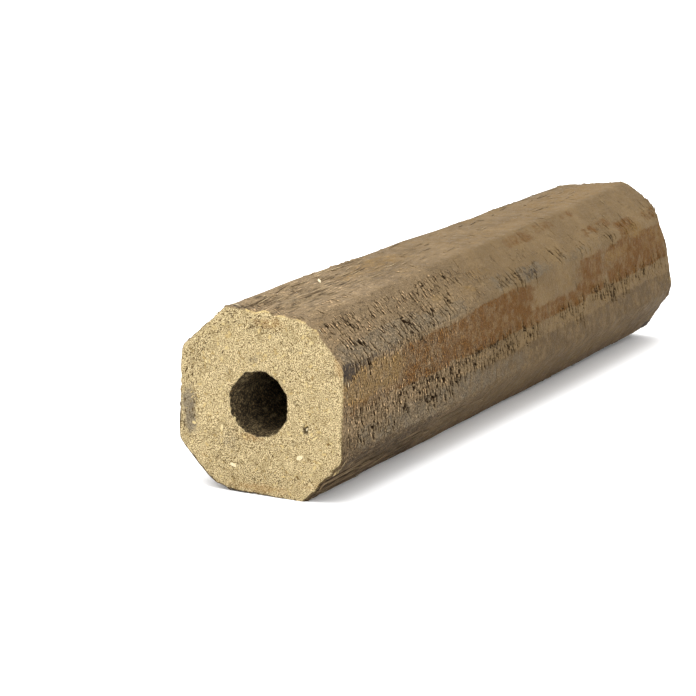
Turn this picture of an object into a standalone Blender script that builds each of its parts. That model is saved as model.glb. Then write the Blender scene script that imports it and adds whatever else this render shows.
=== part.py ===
# Beech wood briquette: an eight-sided log of pressed sawdust with a bore along its middle.
# It is one piece, lies along Y with its near end at -Y, and rests on its underside.
# The section turns a little along the length, as it did when it left the press.

import math
import random
from functools import lru_cache

import bmesh
import bpy
from mathutils import Matrix, Vector, noise

NAME = "briquette"

# Driving dimensions, in metres
LENGTH = 0.310
WIDTH = 0.065                       # across two opposite flat sides
SLANT_WIDTH = 0.0694                # across two opposite slanting sides
BORE = 0.0218                       # diameter of the bore, behind its mouth
BORE_OFFSET = -0.0010               # the bore sits this far off the middle, along X
SETTLED = 0.0009                    # how much of the underside is worn flat

# How far each side stands out of its even place, and how it leans there, in degrees
SIDE_SHAPES = (
    (-0.0005, 1.3),                 # right
    (0.0001, -1.5),                 # upper right slant
    (0.0002, -1.3),                 # top
    (-0.0002, -1.3),                # upper left slant
    (0.0002, 0.0),                  # left
    (0.0004, 0.0),                  # lower left slant
    (0.0003, -1.2),                 # bottom
    (0.0003, 1.6),                  # lower right slant
)
SIDES = len(SIDE_SHAPES)

# The turn of the section about the log's axis, in degrees
TURN_NEAR = -1.8
TURN_FAR = 9.0

# Sharpness of the long arrises: a higher number is a sharper corner
SHARP = 100.0
ROUND = 16.0
WEAR = 0.35                         # the share of the way to round, all along
WEAR_SPREAD = 0.25
END_WEAR = 0.5                      # more of it at the far end
CORNER_WEAR = (62.0, 242.0)         # and at these arrises of the near end, in degrees
CORNER_SPREAD = 20.0
WEAR_REACH = 0.035
RIM_SOFTNESS = 0.0007               # the small break between skin and end face

# Unevenness, as heights and as sizes along the surface
BOW = 0.0006
BOW_RATE = 9.0                      # waves of the bow, per metre
LUMP = 0.00035
LUMP_SIZE = 0.018
SWELL_SIZE = 0.060
END_GRAIN = 0.00016
END_GRAIN_SIZE = 0.007

# The bore's wall: flared and ragged at the mouths, streaked along its length
MOUTH_FLARE = 0.0005
MOUTH_DEPTH = 0.005
MOUTH_RAGGED = 0.00045
BORE_STREAK = 0.00022

# The folds that run along the lower right slant from the near end
FOLD_HEIGHT = 0.0005
FOLD_WIDTH = 2.6                    # in degrees
FOLD_REACH = 0.110
FOLD_LINES = (
    (309.0, 20.0, 1.0),             # degrees at the near end, drift in degrees per metre, share
    (321.0, 30.0, 0.7),
)

# The bite out of the far rim
BITE_DEPTH = 0.0022
BITE_LENGTH = 0.006
BITE_ANGLE = 24.0
BITE_WIDTH = 9.0

# Tears: short slits that the press opened across the skin
TEAR_COUNT = 290
TEAR_LENGTH = 0.0056                # round the log
TEAR_OPENING = 0.0021               # along the log
TEAR_DEPTH = 0.0017
TEAR_SIZES = (0.6, 1.15)
TEAR_SLANT = 0.35
TEAR_LEAN = 0.0006                  # how far the pit reaches under its near lip
TEAR_SIDE_GAP = 0.0062              # between the middles of two tears, round the log
TEAR_NEXT_GAP = 0.0040              # and along it
TEAR_MARGIN = 0.004                 # clear skin at either end
TEAR_PROUD = 0.0005                 # how far a cutter stands out of the skin
TEAR_SEED = 11
GROUND_CLEAR = 0.0012               # no tear where the log lies on the ground
LONE_TEARS = 0.03                   # the chance of a tear outside the bands
PATCH_RATE = 38.0                   # patches of tears along a band, per metre

# Bands of tears: degrees round the section, width in degrees, and strength
TEAR_BANDS = (
    (33.0, 6.0, 1.0),               # low on the upper right slant
    (50.0, 8.0, 0.45),              # higher on the upper right slant
    (350.0, 9.0, 1.0),              # below the middle of the right side
    (118.0, 8.0, 0.8),              # upper left slant
    (152.0, 6.0, 0.5),              # arris above the left side
    (196.0, 10.0, 0.9),             # middle of the left side
    (232.0, 7.0, 0.6),              # lower left slant
    (292.0, 7.0, 0.4),              # underside
)

# How finely the surface is divided
FLAT_STEPS = 9                      # across each flat side
SLANT_STEPS = 6                     # across each slanting side
SKIN_STEPS = 30                     # along the log
BORE_STEPS = 8                      # along the bore
FACE_INSETS = (0.035, 0.34, 0.68)   # rings on an end face, from rim to bore


def clear_scene():
    for item in list(bpy.data.objects):
        bpy.data.objects.remove(item, do_unlink=True)


def smooth_step(value):
    value = max(0.0, min(1.0, value))
    return value * value * (3.0 - 2.0 * value)


def hump(distance, width):
    """A soft bump: 1 in the middle, fading out over the width."""
    return math.exp(-(distance / width) ** 2)


def rough(x, y, z):
    """Smooth noise, between -1 and 1."""
    return noise.noise(Vector((x, y, z)))


def degrees_between(first, second):
    return (first - second + 180.0) % 360.0 - 180.0


def side_distance(side):
    across = SLANT_WIDTH if side % 2 else WIDTH
    return 0.5 * across + SIDE_SHAPES[side % SIDES][0]


def side_facing(side):
    """The angle that a side faces, counted from +X towards +Z."""
    return math.radians((side % SIDES) * 360.0 / SIDES + SIDE_SHAPES[side % SIDES][1])


def corner_angle(side):
    """The angle of the arris between this side and the next one."""
    here = side_distance(side)
    there = side_distance(side + 1)
    turn = (side_facing(side + 1) - side_facing(side)) % math.tau
    return side_facing(side) + math.atan2(there - here * math.cos(turn), here * math.sin(turn))


def ring_angles():
    """Points round the section: every arris is one of them."""
    angles = []
    for side in range(SIDES):
        middle = side_facing(side)
        low = math.tan(corner_angle(side - 1) - middle)
        high = math.tan(corner_angle(side) - middle)
        steps = SLANT_STEPS if side % 2 else FLAT_STEPS
        for step in range(steps):
            across = low + (high - low) * step / steps
            angles.append(middle + math.atan(across))
    return angles


def arris_wear(along, angle):
    """How rounded the arrises are here, from 0 to 1."""
    near = 1.0 - smooth_step(along / WEAR_REACH)
    far = 1.0 - smooth_step((LENGTH - along) / WEAR_REACH)
    degrees = math.degrees(angle)
    corner = max(hump(degrees_between(degrees, worn), CORNER_SPREAD) for worn in CORNER_WEAR)
    spread = WEAR_SPREAD * rough(along * 22.0, math.cos(angle) * 2.0, 5.0)
    return max(0.0, min(1.0, WEAR + spread + near * corner + END_WEAR * far))


def section_radius(along, angle):
    """Distance from the axis to the skin of an octagon with soft corners."""
    power = SHARP + (ROUND - SHARP) * arris_wear(along, angle)
    total = 0.0
    for side in range(SIDES):
        facing = math.cos(angle - side_facing(side))
        if facing > 0.0:
            total += (facing / side_distance(side)) ** power
    return total ** (-1.0 / power)


def lumps(along, angle):
    """Soft unevenness of the skin, in metres outwards."""
    place = Vector((math.cos(angle) * 0.5 * WIDTH, math.sin(angle) * 0.5 * WIDTH, along * 0.6))
    broad = noise.noise(place / SWELL_SIZE + Vector((3.0, 1.0, 7.0)))
    return LUMP * (broad + noise.noise(place / LUMP_SIZE))


def folds(along, angle):
    """Long folds of skin on the lower right slant."""
    fade = 1.0 - smooth_step(along / FOLD_REACH)
    height = 0.0
    for start, drift, share in FOLD_LINES:
        away = degrees_between(math.degrees(angle), start + drift * along)
        height += share * hump(away, FOLD_WIDTH)
    return FOLD_HEIGHT * fade * height


def bite(along, angle):
    """The chip missing from the far rim, in metres inwards."""
    depth = hump(degrees_between(math.degrees(angle), BITE_ANGLE), BITE_WIDTH)
    return BITE_DEPTH * depth * (1.0 - smooth_step((LENGTH - along) / BITE_LENGTH))


def skin_radius(along, angle):
    radius = section_radius(along, angle) + lumps(along, angle)
    return radius + folds(along, angle) - bite(along, angle)


def bore_radius(along, angle):
    depth = min(along, LENGTH - along)
    flare = MOUTH_FLARE * (1.0 - smooth_step((depth - 0.5 * MOUTH_DEPTH) / MOUTH_DEPTH))
    streak = BORE_STREAK * rough(math.cos(angle) * 3.0, math.sin(angle) * 3.0, along * 12.0)
    ragged = MOUTH_RAGGED * rough(math.cos(angle) * 2.4, math.sin(angle) * 2.4, 9.0)
    return 0.5 * BORE + flare + streak + ragged * hump(depth, MOUTH_DEPTH)


def turn_at(along):
    return math.radians(TURN_NEAR + (TURN_FAR - TURN_NEAR) * along / LENGTH)


@lru_cache(maxsize=None)
def lowest(along):
    """How far the turned section reaches below the axis."""
    turn = turn_at(along)
    return max(-section_radius(along, angle) * math.sin(angle + turn) for angle in ring_angles())


def axis_height(along):
    """The axis climbs a little, so that both ends touch the ground."""
    near = lowest(0.0)
    far = lowest(LENGTH)
    return near + (far - near) * along / LENGTH - SETTLED


def point(along, inward, angle):
    """A point of the surface: inward is 0 on the skin and 1 on the wall of the bore."""
    turned = angle + turn_at(along)
    ray = Vector((math.cos(turned), 0.0, math.sin(turned)))
    skin = ray * skin_radius(along, angle)
    wall = ray * bore_radius(along, angle) + Vector((BORE_OFFSET, 0.0, 0.0))
    place = skin.lerp(wall, inward)
    place.x += BOW * rough(along * BOW_RATE, 2.0, 0.5)
    place.y = along - 0.5 * LENGTH
    place.z += axis_height(along)
    if inward > 0.0 and along in (0.0, LENGTH):
        outwards = 1.0 if along else -1.0
        grain = noise.noise(Vector((place.x, along, place.z)) / END_GRAIN_SIZE)
        place.y += outwards * END_GRAIN * grain
    return place


def stations():
    """The closed way round the log's wall: skin, far face, bore, near face."""
    way = []
    for step in range(SKIN_STEPS + 1):
        share = step / SKIN_STEPS
        way.append((RIM_SOFTNESS + (LENGTH - 2.0 * RIM_SOFTNESS) * share, 0.0))
    way += [(LENGTH, inset) for inset in FACE_INSETS]
    for step in range(BORE_STEPS + 1):
        share = 0.5 - 0.5 * math.cos(math.pi * step / BORE_STEPS)
        way.append((LENGTH * (1.0 - share), 1.0))
    way += [(0.0, inset) for inset in reversed(FACE_INSETS)]
    return way


def tear_chance(along, degrees):
    """How likely a tear is: they crowd in bands, and in patches along each band."""
    chance = LONE_TEARS
    for number, (middle, width, strength) in enumerate(TEAR_BANDS):
        patch = 0.62 + 0.75 * rough(along * PATCH_RATE, number * 5.3, 1.7)
        chance += strength * patch * hump(degrees_between(degrees, middle), width)
    return chance


def is_clear(places, along, degrees):
    for other_along, other_degrees, size, slant in places:
        away = math.radians(degrees_between(degrees, other_degrees))
        side_gap = abs(away) * 0.5 * WIDTH
        if side_gap < TEAR_SIDE_GAP and abs(along - other_along) < TEAR_NEXT_GAP:
            return False
    return True


def tear_places():
    """Draw places for the tears on the skin, none of which touches another."""
    draw = random.Random(TEAR_SEED)
    places = []
    while len(places) < TEAR_COUNT:
        along = draw.uniform(TEAR_MARGIN, LENGTH - TEAR_MARGIN)
        degrees = draw.uniform(0.0, 360.0)
        size = draw.uniform(*TEAR_SIZES)
        slant = draw.uniform(-TEAR_SLANT, TEAR_SLANT)
        wanted = draw.random() < tear_chance(along, degrees)
        on_ground = point(along, 0.0, math.radians(degrees)).z < GROUND_CLEAR
        if wanted and not on_ground and is_clear(places, along, degrees):
            places.append((along, degrees, size, slant))
    return places


def skin_frame(along, angle):
    """A place on the skin, the way round the log there and the way out of it."""
    step = 0.0008
    here = point(along, 0.0, angle)
    around = point(along, 0.0, angle + step / WIDTH) - here
    forward = point(along + step, 0.0, angle) - here
    return here, around.normalized(), forward.cross(around).normalized()


def make_tear_cutter():
    """Each cutter is a small pyramid, flattened to a slit, with its tip leaning inwards."""
    mesh = bmesh.new()
    for along, degrees, size, slant in tear_places():
        here, around, outward = skin_frame(along, math.radians(degrees))
        forward = outward.cross(around)
        pyramid = bmesh.ops.create_cone(
            mesh, cap_ends=True, cap_tris=False, segments=4, radius1=0.5, radius2=0.0, depth=1.0)
        reach = TEAR_DEPTH * size + TEAR_PROUD
        mouth = size * reach / (reach - TEAR_PROUD)
        for corner in pyramid["verts"]:
            deep = corner.co.z + 0.5
            round_log = corner.co.x * TEAR_LENGTH * mouth
            along_log = corner.co.y * TEAR_OPENING * mouth + slant * round_log
            along_log -= TEAR_LEAN * deep
            out = TEAR_PROUD - reach * deep
            corner.co = here + around * round_log + forward * along_log + outward * out
    bmesh.ops.recalc_face_normals(mesh, faces=mesh.faces[:])
    data = bpy.data.meshes.new("tear_cutter")
    mesh.to_mesh(data)
    mesh.free()
    cutter = bpy.data.objects.new("tear_cutter", data)
    cutter.hide_render = True
    cutter.display_type = "WIRE"
    return cutter


def flatten_underside(mesh):
    for corner in mesh.verts:
        corner.co.z = max(0.0, corner.co.z)


def box_middle(mesh):
    """The middle of the mesh's box, on the ground."""
    xs = [corner.co.x for corner in mesh.verts]
    ys = [corner.co.y for corner in mesh.verts]
    return Vector((0.5 * (min(xs) + max(xs)), 0.5 * (min(ys) + max(ys)), 0.0))


def wood_material():
    material = bpy.data.materials.new("pressed beech sawdust")
    material.use_nodes = True
    shader = material.node_tree.nodes["Principled BSDF"]
    shader.inputs["Base Color"].default_value = (0.22, 0.15, 0.085, 1.0)
    shader.inputs["Roughness"].default_value = 0.62
    shader.inputs["Metallic"].default_value = 0.0
    return material


def make_log():
    """A torus has the form of a log with a bore: its rings are moved to the wall's stations."""
    angles = ring_angles()
    way = stations()
    bpy.ops.mesh.primitive_torus_add(
        major_segments=len(angles), minor_segments=len(way), major_radius=1.0, minor_radius=0.2)
    log = bpy.context.object
    log.name = NAME
    log.data.name = NAME
    mesh = bmesh.new()
    mesh.from_mesh(log.data)
    mesh.verts.ensure_lookup_table()
    for column, angle in enumerate(angles):
        for row, (along, inward) in enumerate(way):
            mesh.verts[column * len(way) + row].co = point(along, inward, angle)
    flatten_underside(mesh)
    bmesh.ops.recalc_face_normals(mesh, faces=mesh.faces[:])
    middle = box_middle(mesh)
    mesh.to_mesh(log.data)
    mesh.free()
    log.data.shade_smooth()
    log.data.set_sharp_from_angle(angle=math.radians(32.0))
    log.data.materials.append(wood_material())
    return log, middle


def add_collection(name):
    collection = bpy.data.collections.new(name)
    bpy.context.scene.collection.children.link(collection)
    return collection


def make_briquette():
    log, middle = make_log()
    cutter = make_tear_cutter()
    for thing in (log, cutter):
        thing.data.transform(Matrix.Translation(-middle))
    for owner in list(log.users_collection):
        owner.objects.unlink(log)
    add_collection(NAME).objects.link(log)
    add_collection("cutters").objects.link(cutter)
    tears = log.modifiers.new("tears", "BOOLEAN")
    tears.operation = "DIFFERENCE"
    tears.object = cutter


clear_scene()
make_briquette()
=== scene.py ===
import itertools
import math
import random

import bpy
import numpy as np
from mathutils import Matrix, Vector, noise


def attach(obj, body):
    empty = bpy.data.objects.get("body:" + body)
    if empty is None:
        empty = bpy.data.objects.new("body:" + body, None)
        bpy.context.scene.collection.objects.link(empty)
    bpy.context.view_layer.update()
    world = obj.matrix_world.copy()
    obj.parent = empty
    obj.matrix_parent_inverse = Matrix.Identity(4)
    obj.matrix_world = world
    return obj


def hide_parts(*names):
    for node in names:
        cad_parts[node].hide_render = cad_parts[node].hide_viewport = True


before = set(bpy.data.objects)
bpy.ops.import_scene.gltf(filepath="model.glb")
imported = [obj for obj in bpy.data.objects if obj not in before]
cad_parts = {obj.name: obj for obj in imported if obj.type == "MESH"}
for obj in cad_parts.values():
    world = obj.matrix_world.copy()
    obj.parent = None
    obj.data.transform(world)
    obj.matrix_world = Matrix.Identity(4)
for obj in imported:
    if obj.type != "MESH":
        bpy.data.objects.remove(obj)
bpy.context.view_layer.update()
print("frame loaded")


def addObject(name, data):
    made = bpy.data.objects.new(name, data)
    bpy.context.scene.collection.objects.link(made)
    return made


def storeValues(mesh, name, values, kind="FLOAT", field="value"):   # one value for every point
    layer = mesh.attributes.new(name, kind, "POINT")
    layer.data.foreach_set(field, np.asarray(values, np.float32).ravel())


# The view

camera = {
    "lens": 144.75,
    "sensor": 36.0,
    "azimuth": 27.035,              # degrees round from the near end
    "elevation": 12.608,
    "roll": 0.458,
    "place": (0.45234, -0.97531, 0.26206),
}


def makeCamera():
    azimuth, elevation, roll = (math.radians(camera[k]) for k in ("azimuth", "elevation", "roll"))
    ahead = np.array([-math.sin(azimuth), math.cos(azimuth), 0.0]) * math.cos(elevation)
    ahead[2] = -math.sin(elevation)
    right = np.array([math.cos(azimuth), math.sin(azimuth), 0.0])
    up = np.cross(right, ahead)
    rightRolled = right * math.cos(roll) + up * math.sin(roll)
    upRolled = up * math.cos(roll) - right * math.sin(roll)
    lens = bpy.data.cameras.new("camera")
    lens.sensor_width = camera["sensor"]
    lens.lens = camera["lens"]
    lens.clip_start, lens.clip_end = 0.05, 50.0
    eye = addObject("camera", lens)
    columns = [rightRolled, upRolled, -ahead]
    turned = Matrix([[float(column[row]) for column in columns] for row in range(3)])
    eye.matrix_world = Matrix.Translation(camera["place"]) @ turned.to_4x4()
    bpy.context.scene.camera = eye


makeCamera()
print("camera made")


# The log's shape: these numbers are the solid's own, in metres and degrees

log = {
    "length": 0.310,
    "width": 0.065,                 # across two opposite flat sides
    "slantWidth": 0.0694,           # across two opposite slanting sides
    "bore": 0.0218,
    "boreOffset": -0.0010,
    "settled": 0.0009,              # how much of the underside is worn flat
    "sides": (                      # how far each side stands out, and how it leans
        (-0.0005, 1.3), (0.0001, -1.5), (0.0002, -1.3), (-0.0002, -1.3),
        (0.0002, 0.0), (0.0004, 0.0), (0.0003, -1.2), (0.0003, 1.6),
    ),
    "turnNear": -1.8,
    "turnFar": 9.0,
    "sharp": 100.0,                 # a higher number is a sharper arris
    "round": 16.0,
    "wear": 0.35,
    "wearSpread": 0.25,
    "wearRate": 22.0,
    "endWear": 0.5,
    "wornCorners": (62.0, 242.0),
    "cornerSpread": 20.0,
    "wearReach": 0.035,
    "rimSoftness": 0.0007,
    "bow": 0.0006,
    "bowRate": 9.0,
    "lump": 0.00035,
    "lumpSize": 0.018,
    "swellSize": 0.060,
    "endGrain": 0.00016,
    "endGrainSize": 0.007,
    "mouthFlare": 0.0005,
    "mouthDepth": 0.005,
    "mouthRagged": 0.00045,
    "boreStreak": 0.00022,
    "foldHeight": 0.0005,
    "foldWidth": 2.6,
    "foldReach": 0.110,
    "foldLines": ((309.0, 20.0, 1.0), (321.0, 30.0, 0.7)),
    "biteDepth": 0.0022,
    "biteLength": 0.006,
    "biteAngle": 24.0,
    "biteWidth": 9.0,
    "faceInset": 0.035,             # where the rim ends, from skin to bore
    "steps": (9, 6),                # of the solid, across a flat side and a slanting one
    "skinSteps": 30,
}
sideCount = len(log["sides"])


def smoothStep(value):
    value = np.clip(value, 0.0, 1.0)
    return value * value * (3.0 - 2.0 * value)


def hump(distance, width):          # 1 in the middle, fading out over the width
    return np.exp(-(distance / width) ** 2)


def degreesBetween(first, second):
    return (first - second + 180.0) % 360.0 - 180.0


def rough(x, y, z):                 # smooth noise between -1 and 1, for numbers or arrays
    x, y, z = np.broadcast_arrays(x, y, z)
    places = np.stack([x, y, z], -1).reshape(-1, 3).tolist()
    return np.array([noise.noise(place) for place in places]).reshape(x.shape)


def sideDistance(side):
    across = log["slantWidth"] if side % 2 else log["width"]
    return 0.5 * across + log["sides"][side % sideCount][0]


def sideFacing(side):
    return math.radians((side % sideCount) * 360.0 / sideCount + log["sides"][side % sideCount][1])


def cornerAngle(side):              # of the arris between this side and the next one
    here, there = sideDistance(side), sideDistance(side + 1)
    turn = (sideFacing(side + 1) - sideFacing(side)) % math.tau
    return sideFacing(side) + math.atan2(there - here * math.cos(turn), here * math.sin(turn))


def ringAngles(flatSteps, slantSteps):
    angles = []
    for side in range(sideCount):
        middle = sideFacing(side)
        low = math.tan(cornerAngle(side - 1) - middle)
        high = math.tan(cornerAngle(side) - middle)
        steps = slantSteps if side % 2 else flatSteps
        for step in range(steps):
            angles.append(middle + math.atan(low + (high - low) * step / steps))
    return np.array(angles)


def arrisWear(along, angle):
    near = 1.0 - smoothStep(along / log["wearReach"])
    far = 1.0 - smoothStep((log["length"] - along) / log["wearReach"])
    degrees = np.degrees(angle)
    corners = [hump(degreesBetween(degrees, worn), log["cornerSpread"]) for worn in log["wornCorners"]]
    corner = np.maximum(*corners)
    spread = log["wearSpread"] * rough(along * log["wearRate"], np.cos(angle) * 2.0, 5.0)
    return np.clip(log["wear"] + spread + near * corner + log["endWear"] * far, 0.0, 1.0)


def sectionRadius(along, angle):
    power = log["sharp"] + (log["round"] - log["sharp"]) * arrisWear(along, angle)
    total = 0.0
    for side in range(sideCount):
        facing = np.maximum(np.cos(angle - sideFacing(side)), 0.0)
        total = total + (facing / sideDistance(side)) ** power
    return total ** (-1.0 / power)


def lumps(along, angle):
    x = np.cos(angle) * 0.5 * log["width"]
    y = np.sin(angle) * 0.5 * log["width"]
    z = along * 0.6
    swell, lump = log["swellSize"], log["lumpSize"]
    broad = rough(x / swell + 3.0, y / swell + 1.0, z / swell + 7.0)
    return log["lump"] * (broad + rough(x / lump, y / lump, z / lump))


def folds(along, angle):
    height = 0.0
    for start, drift, share in log["foldLines"]:
        away = degreesBetween(np.degrees(angle), start + drift * along)
        height = height + share * hump(away, log["foldWidth"])
    return log["foldHeight"] * (1.0 - smoothStep(along / log["foldReach"])) * height


def bite(along, angle):
    depth = hump(degreesBetween(np.degrees(angle), log["biteAngle"]), log["biteWidth"])
    return log["biteDepth"] * depth * (1.0 - smoothStep((log["length"] - along) / log["biteLength"]))


def skinRadius(along, angle):
    return sectionRadius(along, angle) + lumps(along, angle) + folds(along, angle) - bite(along, angle)


def boreRadius(along, angle):
    depth = np.minimum(along, log["length"] - along)
    reach = log["mouthDepth"]
    flare = log["mouthFlare"] * (1.0 - smoothStep((depth - 0.5 * reach) / reach))
    streak = log["boreStreak"] * rough(np.cos(angle) * 3.0, np.sin(angle) * 3.0, along * 12.0)
    ragged = log["mouthRagged"] * rough(np.cos(angle) * 2.4, np.sin(angle) * 2.4, 9.0)
    return 0.5 * log["bore"] + flare + streak + ragged * hump(depth, reach)


def turnAt(along):
    return np.radians(log["turnNear"] + (log["turnFar"] - log["turnNear"]) * along / log["length"])


solidAngles = ringAngles(*log["steps"])


def lowest(along):
    return float(np.max(-sectionRadius(along, solidAngles) * np.sin(solidAngles + turnAt(along))))


lowNear, lowFar = lowest(0.0), lowest(log["length"])


def surface(along, inward, angle, skinDetail=0.0, boreDetail=0.0):
    turned = angle + turnAt(along)
    across, upward = np.cos(turned), np.sin(turned)
    skin = skinRadius(along, angle) + skinDetail
    wall = boreRadius(along, angle) + boreDetail
    radius = skin + (wall - skin) * inward
    bow = log["bow"] * rough(along * log["bowRate"], 2.0, 0.5)
    x = across * radius + log["boreOffset"] * inward + bow
    z = upward * radius + lowNear + (lowFar - lowNear) * along / log["length"] - log["settled"]
    y = along - 0.5 * log["length"] + 0.0 * angle
    return np.stack(np.broadcast_arrays(x, y, z), -1)


def solidMiddle():                  # the middle of the solid's own box, before it is centred
    soft = log["rimSoftness"]
    way = soft + (log["length"] - 2.0 * soft) * np.linspace(0.0, 1.0, log["skinSteps"] + 1)
    places = surface(way[None, :], 0.0, solidAngles[:, None]).reshape(-1, 3)
    middle = 0.5 * (places.min(0) + places.max(0))
    middle[1:] = 0.0
    return middle


middle = solidMiddle()
print("log measured", [round(float(value) * 1000.0, 2) for value in middle])


# Tears: short slits that the press opened across the skin

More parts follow.
